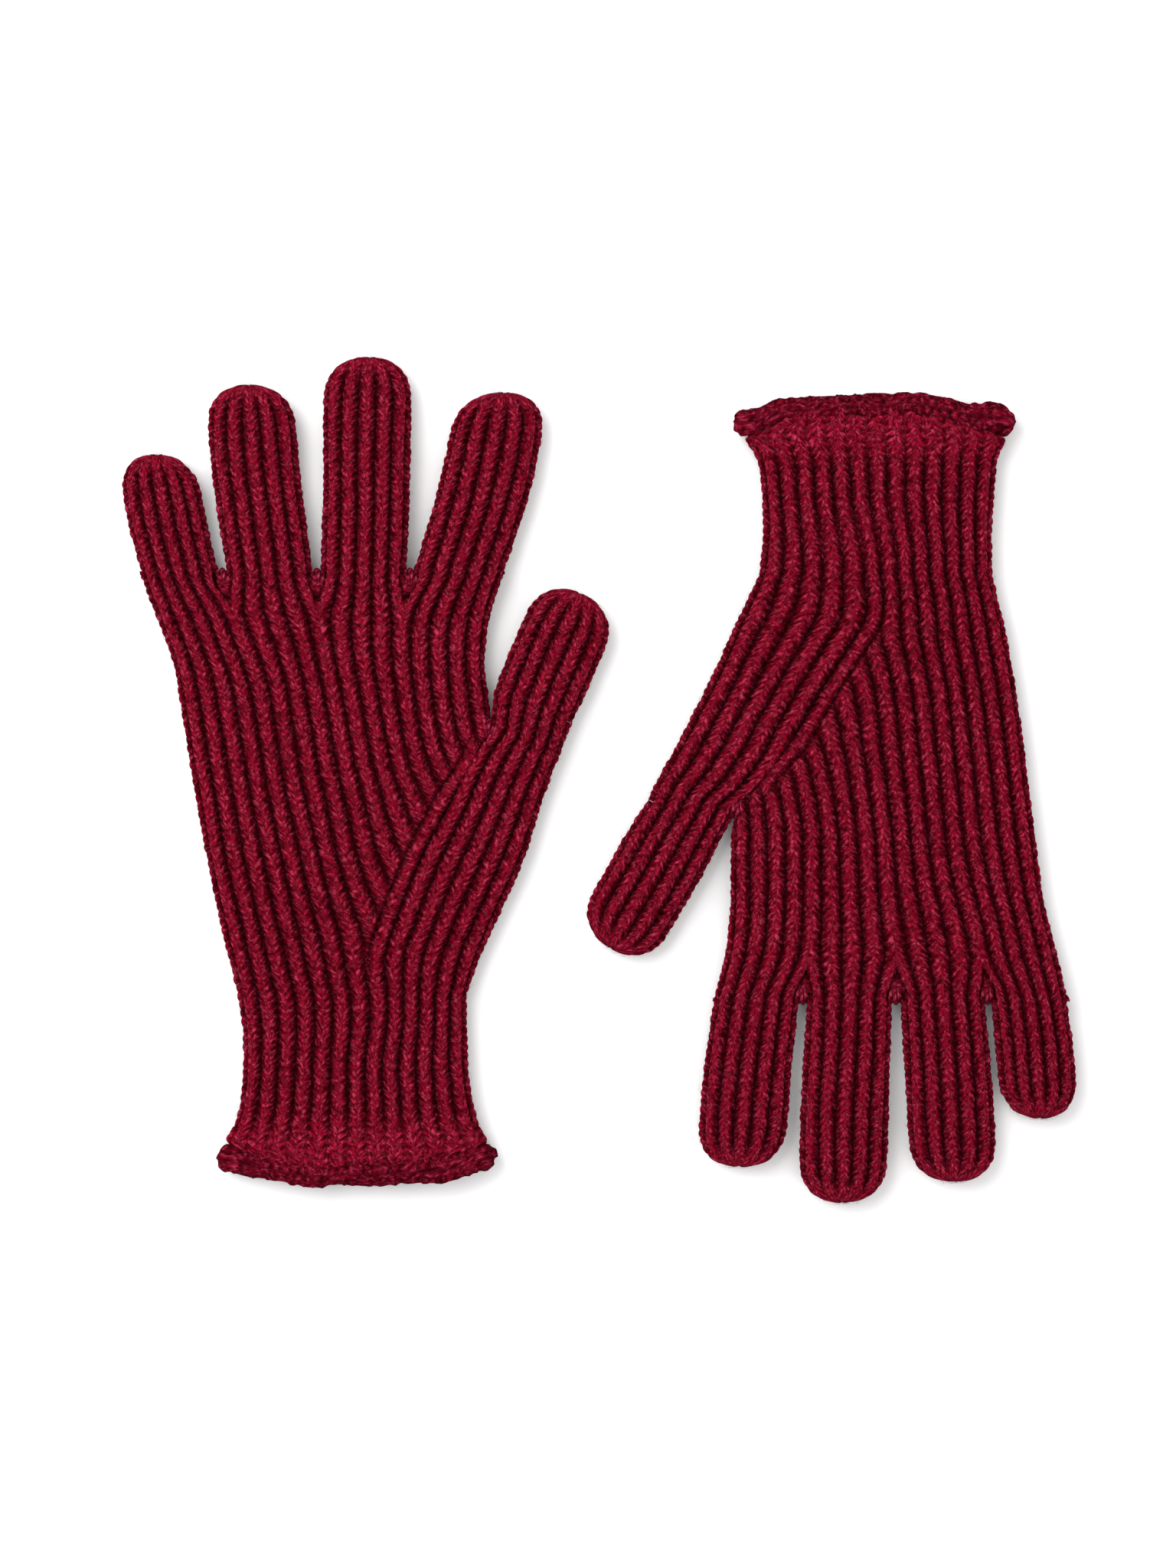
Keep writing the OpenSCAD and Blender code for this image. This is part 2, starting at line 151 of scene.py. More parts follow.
# Where the gusset leaves the hand, on its inner side and on its outer side
GUSSET_OPEN = {"left": (0.0804, 0.0730), "right": (0.0710, 0.0615)}
CREASE_END_L = 0.015      # the crease by the thumb deepens to a gap over this length
SEAM_LAP = 0.0012         # how far hand and gusset lap over each other where that gap starts
RIDGE_W = 0.0048          # width of the ridge that follows the gusset line
FAN_REACH = 0.011         # how far from the gusset line the hand's ribs still fan out
FAN = 0.006               # how far they fan out at the line itself
CREASE_W = (0.002, 0.006)    # the seam's edge moves straight up or down within these distances
IN_STEP = (-0.024, -0.001)   # the cuff's ribs move over to meet the hand's between these heights

# Where each bend starts and ends, along the glove from its joint's line
WRIST_BEND = (-0.010, -0.001)
KNUCKLE_BEND = (0.001, 0.009)
MIDDLE_BEND = (-0.003, 0.007)


def smooth(value, start, end):
    """0 before start, 1 after end, and an even turn between them."""
    t = np.clip((np.asarray(value, float) - start) / (end - start), 0, 1)
    return t * t * (3 - 2 * t)


def wander(x, y, size, seed):
    """Smooth seeded noise from -1 to 1, with features of the given size."""
    table = np.random.default_rng(seed).uniform(-1, 1, (97, 89))
    x, y = np.asarray(x, float) / size, np.asarray(y, float) / size
    left, low = np.floor(x).astype(int), np.floor(y).astype(int)
    across, up = x - left, y - low
    across, up = across * across * (3 - 2 * across), up * up * (3 - 2 * up)

    def corner(i, j):
        return table[(left + i) % 97, (low + j) % 89]

    bottom = corner(0, 0) * (1 - across) + corner(1, 0) * across
    top = corner(0, 1) * (1 - across) + corner(1, 1) * across
    return bottom * (1 - up) + top * up


def unit(vector):
    return vector / np.maximum(np.linalg.norm(vector, axis=-1, keepdims=True), 1e-12)


# ---------------------------------------------------------------- the frame's outlines

class Place:
    """A flat frame on the table: an origin, the way across and the way along."""

    def __init__(self, origin, across):
        self.origin = np.array([origin[0], origin[1], 0.0])
        self.across = unit(np.array([across[0], across[1], 0.0]))
        self.along = np.array([-self.across[1], self.across[0], 0.0])

    def to_world(self, x, y, z):
        x, y, z = np.broadcast_arrays(x, y, z)
        return (self.origin + x[..., None] * self.across + y[..., None] * self.along
                + z[..., None] * UP)

    def point(self, x, y, z=0.0):
        return tuple(float(v) for v in self.to_world(x, y, z))

    def across_of(self, point):
        return float((np.array(point) - self.origin) @ self.across)

    def along_of(self, point):
        return float((np.array(point) - self.origin) @ self.along)

    def end_of(self, node_name):
        return float(((corners_of(node_name) - self.origin) @ self.along).max())

    def outline(self, nodes):
        """Slices CAD nodes across this frame. Gives the function y -> least x, most x, top z."""
        ends, points = [], []
        for name in nodes:
            mesh = frame["nodes"][name].data
            pairs = np.empty(len(mesh.edges) * 2, int)
            mesh.edges.foreach_get("vertices", pairs)
            ends.append(pairs.reshape(-1, 2) + sum(len(p) for p in points))
            points.append(corners_of(name))
        points, ends = np.vstack(points), np.vstack(ends)
        x = (points - self.origin) @ self.across
        y = (points - self.origin) @ self.along
        first, second = ends[:, 0], ends[:, 1]
        rows = []
        count = max(int((y.max() - y.min()) / SLICE_L), 4)
        levels = np.linspace(y.min() + 1e-5, y.max() - 1e-5, count)
        for level in levels:
            near, far = y[first] - level, y[second] - level
            cut = (near * far <= 0) & (near != far)
            if not cut.any():
                continue
            share = near[cut] / (near[cut] - far[cut])
            hit = x[first][cut] + share * (x[second][cut] - x[first][cut])
            height = points[first, 2][cut] + share * (points[second, 2][cut] - points[first, 2][cut])
            rows.append((level, hit.min(), hit.max(), height.max()))
        return softened(np.array(rows))


def softened(rows):
    """Rounds off the corners of an outline, and gives it back as a function of its first column."""
    level = np.linspace(rows[0, 0], rows[-1, 0], 400)
    step = level[1] - level[0]
    half = max(int(SOFTEN_L / step), 1)
    weight = np.hanning(2 * half + 3)[1:-1]
    weight /= weight.sum()
    columns = []
    for k in range(1, rows.shape[1]):
        value = np.interp(level, rows[:, 0], rows[:, k])
        head = 2 * value[0] - value[half:0:-1]
        tail = 2 * value[-1] - value[-2:-half - 2:-1]
        columns.append(np.convolve(np.concatenate([head, value, tail]), weight, "valid"))

    def at(y):
        return tuple(np.interp(y, level, column) for column in columns)

    return at


# ---------------------------------------------------------------- knitted relief and meshes

def knit_relief(phase, along, depth, first_rib=0, purl=0.0):
    """How far the wool lies below the crests, with the values its material reads: a share of painted
    shade that darkens the wool the deeper it lies, and the way its yarn runs. phase counts ribs: whole
    numbers are their crests, and halves are the valleys between them."""
    rib = np.round(phase)
    offset = phase - rib
    across = np.abs(offset) * 2
    climb = along / ROW - LEG_RISE * across
    turn = climb - np.floor(climb)
    leg = 1 - np.abs(2 * turn - 1) ** 2.2
    scallop = np.clip(across + SCALLOP * (1 - leg) * across, 0, 1)
    cord = 1 - scallop ** CORD_POWER
    soft = np.sqrt(np.clip(cord, 0, 1))
    table = np.random.default_rng(STITCH_SEED).uniform(-1, 1, STITCH_KINDS)
    number = (rib + first_rib) * 131 + np.floor(climb) * 17 + (offset > 0) * 7
    number = number.astype(int) % STITCH_KINDS
    fall = depth * (1 - cord)
    fall += LEG_DEPTH * (1 - leg) * soft
    fall += MIDDLE_DEPTH * np.exp(-(across / MIDDLE_WIDTH) ** 2) * soft
    fall -= UNEVEN * table[number] * soft * leg
    bump = np.clip(np.cos(2 * math.pi * along / PURL_L), 0, 1) * smooth(across, 0.4, 0.9)
    fall -= purl * depth * PURL_RISE * bump
    # Painted shade: the deeper the wool lies below the crests, the darker its colour.
    shade_and_tone = np.clip(1 - fall / (RIB_DEPTH + LEG_DEPTH), 0, 1)
    rise = LEG_RISE * ROW / HALF_RIB
    size = math.hypot(1, rise)
    run = (across * HALF_RIB + along * rise) / size
    cross = (along - across * HALF_RIB * rise) / size
    apart = rib * 0.0131 + (offset > 0) * 0.0057
    return fall, shade_and_tone, np.stack([run, cross, apart], -1)


def mixed(one, other, weight):
    """Two reliefs mixed, the second by weight."""
    return (one[0] * (1 - weight) + other[0] * weight, one[1] * (1 - weight) + other[1] * weight,
            one[2])


def grid_normals(points, closed):
    """Outward normals of a grid of points: rows run along, columns run round."""
    if closed:
        wrapped = np.concatenate([points[:, -1:], points, points[:, :1]], 1)
        round_way = wrapped[:, 2:] - wrapped[:, :-2]
    else:
        round_way = np.gradient(points, axis=1)
    along_way = np.gradient(points, axis=0)
    return unit(np.cross(round_way, along_way))


def new_object(name, points, faces, uv, shade_and_tone, yarn, material):
    """A mesh object with its own unwrapping, and the two values that its material reads."""
    mesh = bpy.data.meshes.new(name)
    corners = faces.shape[1]
    mesh.vertices.add(len(points))
    mesh.vertices.foreach_set("co", points.reshape(-1).astype(np.float32))
    mesh.loops.add(faces.size)
    mesh.loops.foreach_set("vertex_index", faces.reshape(-1).astype(np.int32))
    mesh.polygons.add(len(faces))
    mesh.polygons.foreach_set("loop_start", np.arange(0, faces.size, corners, dtype=np.int32))
    mesh.polygons.foreach_set("use_smooth", np.ones(len(faces), bool))
    mesh.update(calc_edges=True)
    layer = mesh.uv_layers.new(name="OFBake")
    layer.data.foreach_set("uv", (0.01 + 0.98 * uv).reshape(-1).astype(np.float32))
    mesh.attributes.new("shade_and_tone", "FLOAT", "POINT").data.foreach_set(
        "value", shade_and_tone.reshape(-1).astype(np.float32))
    mesh.attributes.new("yarn", "FLOAT_VECTOR", "POINT").data.foreach_set(
        "vector", yarn.reshape(-1).astype(np.float32))
    thing = bpy.data.objects.new(name, mesh)
    bpy.context.scene.collection.objects.link(thing)
    mesh.materials.append(material)
    return thing


def grid_object(name, points, closed, shade_and_tone, yarn, material):
    """A mesh from a grid of points, unrolled flat for its colours."""
    rows, columns = points.shape[:2]
    row = np.arange(rows - 1)[:, None]
    column = np.arange(columns if closed else columns - 1)[None, :]
    beside = (column + 1) % columns
    faces = np.stack([row * columns + column, row * columns + beside,
                      (row + 1) * columns + beside, (row + 1) * columns + column], -1)
    u_step, v_step = 1 / column.size, 1 / (rows - 1)
    u, v = np.broadcast_arrays(column * u_step, row * v_step)
    uv = np.stack([np.stack([u, v], -1), np.stack([u + u_step, v], -1),
                   np.stack([u + u_step, v + v_step], -1), np.stack([u, v + v_step], -1)], -2)
    return new_object(name, points.reshape(-1, 3), faces.reshape(-1, 4), uv, shade_and_tone, yarn, material)


def hairs(name, starts, normals):
    """Fine curved fibres that stand off the wool, each a tapered three-sided tube."""
    steps = 4
    count = len(starts)
    dice = np.random.default_rng(count)
    flat = unit(np.cross(normals, dice.normal(size=(count, 3))))
    bend = np.cross(normals, flat)
    size = dice.uniform(0.5, 1.0, (count, 1)) * FUZZ_L
    curl = dice.uniform(-1, 1, (count, 1))
    lift = dice.uniform(0.15, 1.0, (count, 1)) ** 2 * FUZZ_RISE
    t = np.linspace(0, 1, steps)[:, None, None]
    path = (starts + flat * size * t + bend * size * curl * t ** 2 * 0.7
            + normals * lift * np.sin(math.pi * 0.75 * t) - normals * FUZZ_R)
    path[..., 2] = np.maximum(path[..., 2], CLEAR_OF_TABLE / 2)
    way = unit(np.gradient(path, axis=0))
    side = unit(np.cross(way, normals))
    other = np.cross(way, side)
    angle = np.arange(3) * 2 * math.pi / 3
    thin = FUZZ_R * (1 - 0.8 * t)[..., None]
    ring = (path[:, :, None] + thin * (side[:, :, None] * np.cos(angle)[:, None]
                                       + other[:, :, None] * np.sin(angle)[:, None]))
    points = ring.transpose(1, 0, 2, 3)
    each = steps * 3
    step, corner = np.arange(steps - 1)[:, None], np.arange(3)[None, :]
    beside = (corner + 1) % 3
    one = np.stack([step * 3 + corner, step * 3 + beside, step * 3 + 3 + beside,
                    step * 3 + 3 + corner], -1).reshape(-1, 4)
    faces = (one[None] + (np.arange(count) * each)[:, None, None]).reshape(-1, 4)
    cell = dice.uniform(0.05, 0.95, (count, 1, 1, 2)) + np.zeros((1, len(one), 4, 1))
    uv = cell + np.array([[0, 0], [0.004, 0], [0.004, 0.004], [0, 0.004]])
    shade_and_tone = np.repeat(dice.uniform(0.2, 1, count), each)
    yarn = np.repeat(dice.uniform(0, 1, (count, 3)), each, 0)
    return new_object(name, points.reshape(-1, 3), faces, uv, shade_and_tone, yarn, FUZZ_WOOL)


def knit_piece(name, points, closed, relief, material, bind, crease=None, fuzz=True,
               flat_end=False):
    """Moves a base surface in to its relief, makes the piece and its fuzz, and binds both to
    their bodies. Where crease is 1 the surface moves straight up or down, not along its normal."""
    fall, shade_and_tone, yarn = relief
    normal = grid_normals(points, closed)
    if crease is not None:
        up = np.zeros_like(normal)
        up[..., 2] = np.sign(points[..., 2] - MIDDLE_Z)
        normal = unit(normal * (1 - crease[..., None]) + up * crease[..., None])
    swell = SWELL * wander(points[..., 0] + 1, points[..., 1] + 1, SWELL_L, 5)
    swell = swell * smooth(points[..., 2], MIDDLE_Z - 0.001, MIDDLE_Z + 0.003)
    moved = points - normal * (fall - swell)[..., None]
    moved[..., 2] = np.maximum(moved[..., 2], CLEAR_OF_TABLE)
    if flat_end:
        moved[-1] = moved[-1].mean(0)
    piece = grid_object(name, moved, closed, shade_and_tone, yarn, material)
    bind(piece)
    if fuzz:
        dice = np.random.default_rng(len(name) * 31 + moved.shape[0])
        count = int(moved.shape[0] * moved.shape[1] * CELL ** 2 * FUZZ_PER_M2)
        row = dice.integers(0, moved.shape[0], count)
        column = dice.integers(0, moved.shape[1], count)
        keep = moved[row, column, 2] > FUZZ_FROM
        row, column = row[keep], column[keep]
        bind(hairs(name.replace("_knit", "") + "_fuzz", moved[row, column], normal[row, column]))
    return piece


def walked(x, y, z):
    """How far each point of each row lies along that row."""
    steps = np.sqrt(np.diff(x, axis=1) ** 2 + np.diff(y, axis=1) ** 2 + np.diff(z, axis=1) ** 2)
    return np.concatenate([np.zeros((len(x), 1)), np.cumsum(steps, 1)], 1)


def rounded_edge(distance, reach, roundness):
    """Share of the full height at a distance in from a rounded side."""
    t = np.clip(1 - distance / reach, 0, 1)
    return (1 - t ** roundness) ** (1 / roundness)


def even_shares(half_w, half_h, roundness, count):
    """Shares across a rounded section, -1 to 1, at even steps of the walk over its top."""
    angle = np.linspace(math.pi, 0, 4000)
    across = np.sign(np.cos(angle)) * np.abs(np.cos(angle)) ** (2 / roundness)
    up = np.abs(np.sin(angle)) ** (2 / roundness)
    walk = walked(across[None] * half_w, 0 * across[None], up[None] * half_h)[0]
    return np.interp(np.linspace(0, walk[-1], count), walk, across)


FINGER_SHARES = even_shares(0.0132, FINGER_HALF_H, FINGER_ROUND, 200)


def finger_walk(across):
    """Share of the walk over a finger's top at a share across it."""
    return np.interp(across, FINGER_SHARES, np.linspace(0, 1, len(FINGER_SHARES)))


# ---------------------------------------------------------------- materials

def node(tree, kind, **values):
    made = tree.nodes.new(kind)
    for key, value in values.items():
        setattr(made, key, value)
    return made


def ranged(tree, source, inputs):
    """Maps a value from one range to another."""
    made = tree.nodes.new("ShaderNodeMapRange")
    for name, value in inputs.items():
        made.inputs[name].default_value = value
    tree.links.new(source, made.inputs["Value"])
    return made.outputs["Result"]


def wool(name, dark_tone_and_shade, mid, light, speck):
    """Heathered wool, with painted shade that darkens it in the valleys, and fine fibres that run along
    each stitch's leg.
    """
    material = bpy.data.materials.new(name)
    material.use_nodes = True
    tree = material.node_tree
    shader = tree.nodes["Principled BSDF"]
    shader.inputs["Roughness"].default_value = 0.85
    shader.inputs["Specular IOR Level"].default_value = 0.0
    shader.inputs["Sheen Weight"].default_value = 0.03
    shader.inputs["Sheen Roughness"].default_value = 0.45
    shader.inputs["Sheen Tint"].default_value = (1.0, 0.15, 0.28, 1)
    shade_and_tone = node(tree, "ShaderNodeAttribute", attribute_name="shade_and_tone")
    yarn = node(tree, "ShaderNodeAttribute", attribute_name="yarn")
    link = tree.links.new

    def stretched(scale, detail, along):
        move = node(tree, "ShaderNodeMapping", vector_type="POINT")
        move.inputs["Scale"].default_value = (along, 1.0, 1.0)
        link(yarn.outputs["Vector"], move.inputs["Vector"])
        made = node(tree, "ShaderNodeTexNoise")
        made.inputs["Scale"].default_value = scale
        made.inputs["Detail"].default_value = detail
        made.inputs["Roughness"].default_value = 0.6
        link(move.outputs["Vector"], made.inputs["Vector"])
        return made

    fibres = stretched(1500, 3, 0.45)
    patches = stretched(1000, 3, 0.7)
    # The ramp turns the shade and tone value into colour: painted shade from near black in the deepest
    # valleys up to the wool's own colour on the crests, and for the fuzz, each hair's random tone.
    ramp = node(tree, "ShaderNodeValToRGB")
    ramp.color_ramp.elements[0].position = 0.0
    ramp.color_ramp.elements[0].color = (*dark_tone_and_shade, 1)
    ramp.color_ramp.elements[1].position = 1.0
    ramp.color_ramp.elements[1].color = (*light, 1)
    middle = ramp.color_ramp.elements.new(0.72)
    middle.color = (*mid, 1)
    link(shade_and_tone.outputs["Fac"], ramp.inputs["Fac"])
    heather = node(tree, "ShaderNodeMix", data_type="RGBA", blend_type="MIX")
    heather.inputs[7].default_value = (*speck, 1)
    pale = ranged(tree, fibres.outputs["Fac"], {"From Min": 0.50, "From Max": 0.66, "To Max": 0.7})
    # Pale heather specks, which fade out with the painted valley shade.
    reach = node(tree, "ShaderNodeMath", operation="MULTIPLY")
    link(pale, reach.inputs[0])
    link(shade_and_tone.outputs["Fac"], reach.inputs[1])
    link(reach.outputs["Value"], heather.inputs["Factor"])
    link(ramp.outputs["Color"], heather.inputs[6])
    shade = node(tree, "ShaderNodeMix", data_type="RGBA", blend_type="MULTIPLY")
    shade.inputs["Factor"].default_value = 1.0
    cloudy = ranged(tree, patches.outputs["Fac"],
                    {"From Min": 0.36, "From Max": 0.62, "To Min": 0.34, "To Max": 1.45})
    link(heather.outputs[2], shade.inputs[6])
    link(cloudy, shade.inputs[7])
    link(shade.outputs[2], shader.inputs["Base Color"])
    bump = node(tree, "ShaderNodeBump")
    bump.inputs["Strength"].default_value = 0.55
    bump.inputs["Distance"].default_value = 0.00035
    link(fibres.outputs["Fac"], bump.inputs["Height"])
    link(bump.outputs["Normal"], shader.inputs["Normal"])
    return material


# The first colour of each wool is painted shade, the colour where the wool lies deepest; for the fuzz
# it is the dark end of its hairs' random tones.
RIB_WOOL = wool("ribbed_wool", (0.0015, 0.0, 0.0001), (0.072, 0.0008, 0.0048),
                (0.158, 0.0022, 0.0122), (0.35, 0.034, 0.068))
EDGE_WOOL = wool("edge_wool", (0.004, 0.0, 0.0003), (0.082, 0.0011, 0.0062),
                 (0.155, 0.0026, 0.0145), (0.34, 0.034, 0.072))
YARN = wool("joining_yarn", (0.015, 0.0, 0.001), (0.09, 0.0015, 0.008),
            (0.16, 0.005, 0.02), (0.36, 0.05, 0.09))
FUZZ_WOOL = wool("fuzz_wool", (0.02, 0.0006, 0.002), (0.07, 0.002, 0.009),
                 (0.15, 0.008, 0.024), (0.34, 0.06, 0.10))


# ---------------------------------------------------------------- one glove

def corners_of(node_name):
    """The corner points of a CAD node's mesh."""
    mesh = frame["nodes"][node_name].data
    co = np.empty(len(mesh.vertices) * 3)
    mesh.vertices.foreach_get("co", co)
    return co.reshape(-1, 3)


class Glove:
    """The outlines of one glove, in its own frame."""

    def __init__(self, side):
        self.side = side
        self.seed = GLOVES.index(side) * 100 + 11
        joints = {j["name"]: j for j in frame["joints"]}

        def joint(name):
            return np.array(joints[f"{side}_{name}"]["pos_m"])

        wrist, thumb = joints[f"{side}_wrist_bend"], joints[f"{side}_thumb_root_bend"]
        self.place = Place(wrist["pos_m"], [-v for v in wrist["axis"][:2]])
        self.thumb_place = Place(thumb["pos_m"], thumb["axis"][:2])
        self.knuckle = self.place.along_of(joint("index_knuckle"))
        self.middles = [self.place.along_of(joint(f"{f}_middle_bend")) for f in FINGERS]
        self.thumb_middle = self.thumb_place.along_of(joint("thumb_middle_bend"))
        self.cuff = self.place.outline([f"{side}_cuff"])
        self.hand = self.place.outline([f"{side}_hand"])
        self.gusset = self.place.outline([f"{side}_thumb_gusset"])
        self.fingers = [self.place.outline([f"{side}_{f}_lower", f"{side}_{f}_upper"])
                        for f in FINGERS]
        self.thumb = self.thumb_place.outline([f"{side}_thumb_lower", f"{side}_thumb_upper"])
        self.root_edges = [self.fingers[k](self.knuckle + 0.0003)[:2] for k in range(4)]
        self.gaps = [(self.root_edges[k][1] + self.root_edges[k + 1][0]) / 2 for k in range(3)]
        cuff = corners_of(f"{side}_cuff") - self.place.origin
        x, y = cuff @ self.place.across, cuff @ self.place.along
        self.cuff_l = float(-y[x > x.max() - 0.0005].min())
        self.mouth_bow = float(-y.min() - self.cuff_l)

    def full_width(self, y):
        """The glove's sides with its gusset, up to where the gusset leaves the hand."""
        top = GUSSET_OPEN[self.side][1]
        left = self.hand(np.clip(y, EDGE_IN, None))[0]
        return left, self.gusset(np.clip(y, EDGE_IN, top))[1]

    def riding(self, body):
        """The function that fixes a piece to one of this glove's bodies."""
        return lambda piece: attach(piece, f"{self.side}_{body}")

    def at_wrist(self, piece):
        """Bakes a piece of the cuff's placement into its mesh."""
        low, high = WRIST_BEND
        self.place.point(0, low)
        self.place.point(0, high)
        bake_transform(piece)


def rows_between(start, end):
    """Even steps of about one cell."""
    return np.linspace(start, end, max(int(abs(end - start) / CELL), 8) + 1)


def round_trip(top, bottom):
    """A closed row: over the top from left to right, and back underneath."""
    return np.concatenate([top, bottom[:, ::-1][:, 1:-1]], 1)


def make_cuff(glove):
    """The ribbed cuff and the inner face that shows in its mouth."""
    side, mouth = glove.side, -glove.cuff_l
    y_rows = rows_between(mouth - TUCK, 0.0)
    left, right, top = glove.cuff(np.clip(y_rows, mouth, -EDGE_IN))
    flare = MOUTH_FLARE * (1 - smooth(y_rows, mouth, mouth + FLARE_L))
    left, right = left - flare, right + flare
    half_w, middle = (right - left) / 2, (right + left) / 2
    share = even_shares(half_w.mean(), MIDDLE_Z, HAND_ROUND, int(2 * half_w.max() / CELL))
    x = middle[:, None] + half_w[:, None] * share[None, :]
    bowed = glove.mouth_bow * (np.minimum(y_rows, 0) / mouth)[:, None] ** MOUTH_BOW_POWER
    y = y_rows[:, None] - bowed * (1 - share[None, :] ** 2)
    mid_z = top[:, None] / 2
    rise = mid_z * (rounded_edge(x - left[:, None], half_w[:, None], HAND_ROUND)
                    * rounded_edge(right[:, None] - x, half_w[:, None], HAND_ROUND))
    walk = walked(x, 0 * x, rise)
    even = walk / walk[:, -1:]
    stem_x = glove.hand(EDGE_IN)[1]
    stem = np.interp(stem_x, x[-1], even[-1])
    in_step = np.interp(even, [0, stem, 1], [0, STEM_RIB, CUFF_RIBS])
    weight = smooth(y, *IN_STEP)
    phase = even * CUFF_RIBS * (1 - weight) + in_step * weight
    phase = phase + RIB_WANDER * wander(x, y, WANDER_L, glove.seed)
    points = round_trip(glove.place.to_world(x, y, mid_z + rise),
                        glove.place.to_world(x, y, mid_z - rise))
    phase, along = round_trip(phase, phase), round_trip(y, y)
    near_mouth = 1 - smooth(along, mouth + MOUTH_PURL[0], mouth + MOUTH_PURL[1])
    depth = RIB_DEPTH * (1 - (1 - MOUTH_DEPTH) * near_mouth)
    relief = knit_relief(phase, along, depth, purl=near_mouth)
    outer = knit_piece(f"{side}_cuff_knit", points, True, relief, RIB_WOOL,
                       glove.at_wrist)
    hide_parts(f"{side}_cuff")

    def sparse(grid):
        return grid[::INSIDE_STEP, ::INSIDE_STEP][::-1]

    inside = sparse(points - grid_normals(points, True) * (WALL + RIB_DEPTH / 2))
    relief = knit_relief(sparse(phase) + 0.5, sparse(along), RIB_DEPTH * INSIDE_DEPTH)
    knit_piece(f"{side}_cuff_inside", inside, True, relief, RIB_WOOL,
               glove.at_wrist, fuzz=False)


def lobes(glove, x):
    """Share of the full height of the four finger roots side by side."""
    best = np.zeros_like(x)
    for low, high in glove.root_edges:
        half = (high - low) / 2
        inside = (x > low) & (x < high)
        rise = (rounded_edge(x - low, half, FINGER_ROUND)
                * rounded_edge(high - x, half, FINGER_ROUND))
        best = np.maximum(best, np.where(inside, rise, 0))
    return best


def hand_phase(glove, x, y, walk, line_distance):
    """Rib numbers across the hand: even from the outer side, fanned out by the gusset line, and
    led between the fingers at the knuckles."""
    open_top = GUSSET_OPEN[glove.side][0]
    total = walk[:, -1:]
    closed = np.interp(open_top + 0.006, y[:, 0], total[:, 0])
    foot = total[0, 0] / STEM_RIB
    pitch = foot + (closed / HAND_RIBS - foot) * smooth(y, 0.0, open_top)
    pitch = np.where(y > open_top + 0.006, total / HAND_RIBS, pitch)
    fan = FAN * smooth(y, 0.002, 0.022) * (1 - smooth(y, open_top - 0.026, open_top + 0.002))
    phase = (walk - fan * np.exp(-line_distance / FAN_REACH)) / pitch
    left, right = x[-1, 0], x[-1, -1]
    marks = np.interp(glove.gaps, x[-1], walk[-1] / walk[-1, -1])
    led = np.interp(walk / total, [0, *marks, 1], [0, *FORK_RIBS, HAND_RIBS])
    lead = smooth(y, open_top + 0.004, glove.knuckle - 0.004)
    phase = phase * (1 - lead) + led * lead
    at_knuckle = left + (x - x[:, :1]) / (x[:, -1:] - x[:, :1]) * (right - left)
    bounds = [left, *glove.gaps, right]
    forked = np.array(phase)
    for k, (low, high) in enumerate(glove.root_edges):
        inside = (at_knuckle >= bounds[k]) & (at_knuckle <= bounds[k + 1])
        share = np.clip((at_knuckle - low) / (high - low), 0, 1) * 2 - 1
        forked = np.where(inside, RIBS_APART * k + finger_walk(share) * FINGER_RIBS, forked)
    split = smooth(y, glove.knuckle - FORK_START, glove.knuckle - OVERLAP)
    return phase * (1 - split) + forked * split


def seam_lap(y, open_top):
    """Share of the full lap between hand and gusset, from below the thumb's crotch up to it."""
    return smooth(y, open_top - 0.024, open_top - 0.014) * (1 - smooth(y, open_top - 0.005, open_top))


def make_hand(glove):
    """The hand's tube. Its grid runs round from the gusset line underneath to the line on top."""
    side = glove.side
    open_top = GUSSET_OPEN[side][0]
    y_rows = rows_between(0.0, glove.knuckle)
    left, right, top = glove.hand(np.clip(y_rows, EDGE_IN, glove.knuckle - EDGE_IN))
    right = right + SEAM_LAP * seam_lap(y_rows, open_top)
    half_w, middle = (right - left) / 2, (right + left) / 2
    share = even_shares(half_w.max(), MIDDLE_Z, HAND_ROUND, int(2 * half_w.max() / CELL))
    x = middle[:, None] + half_w[:, None] * share[None, :]
    y = y_rows[:, None] + 0 * x
    is_open = 1 - smooth(y, open_top - CREASE_END_L, open_top)
    full_left, full_right = glove.full_width(y_rows)
    to_hand = smooth(y_rows, open_top - 0.03, open_top)
    reach = ((full_right - full_left) / 2 * (1 - to_hand) + half_w * to_hand)[:, None]
    rise = rounded_edge(x - left[:, None], reach, HAND_ROUND)
    right_rise = rounded_edge(right[:, None] - x, reach, HAND_ROUND)
    rise = rise * (right_rise * (1 - is_open) + is_open)
    mid_z = top[:, None] / 2
    walk = walked(x, 0 * x, mid_z * rise)
    line_distance = (right[:, None] - x) / np.hypot(1, np.gradient(right, y_rows))[:, None]
    phase = hand_phase(glove, x, y, walk, line_distance)
    phase = phase + RIB_WANDER * wander(x, y, WANDER_L, glove.seed)
    pinch = smooth(y, glove.knuckle - PINCH_L, glove.knuckle - OVERLAP) ** 1.5
    rise = rise * (1 - pinch) + lobes(glove, x) * pinch
    points = np.concatenate([glove.place.to_world(x, y, mid_z - mid_z * rise)[:, ::-1],
                             glove.place.to_world(x, y, mid_z + mid_z * rise)[:, 1:]], 1)

    def folded(value):
        return np.concatenate([value[:, ::-1], value[:, 1:]], 1)

    near, opened, along = folded(line_distance), folded(is_open), folded(y)
    relief = knit_relief(folded(phase), along, RIB_DEPTH)
    ridge = knit_relief(near / RIDGE_W + 0.5, along, RIB_DEPTH, RIDGE_FIRST_RIB)
    weight = (1 - smooth(near, RIDGE_W * 0.75, RIDGE_W * 1.5)) * opened * smooth(along, 0, 0.012)
    crease = (1 - smooth(near, *CREASE_W)) * opened
    piece = knit_piece(f"{side}_hand_knit", points, False, mixed(relief, ridge, weight),
                       RIB_WOOL, glove.riding("hand"), crease)
    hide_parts(f"{side}_hand")


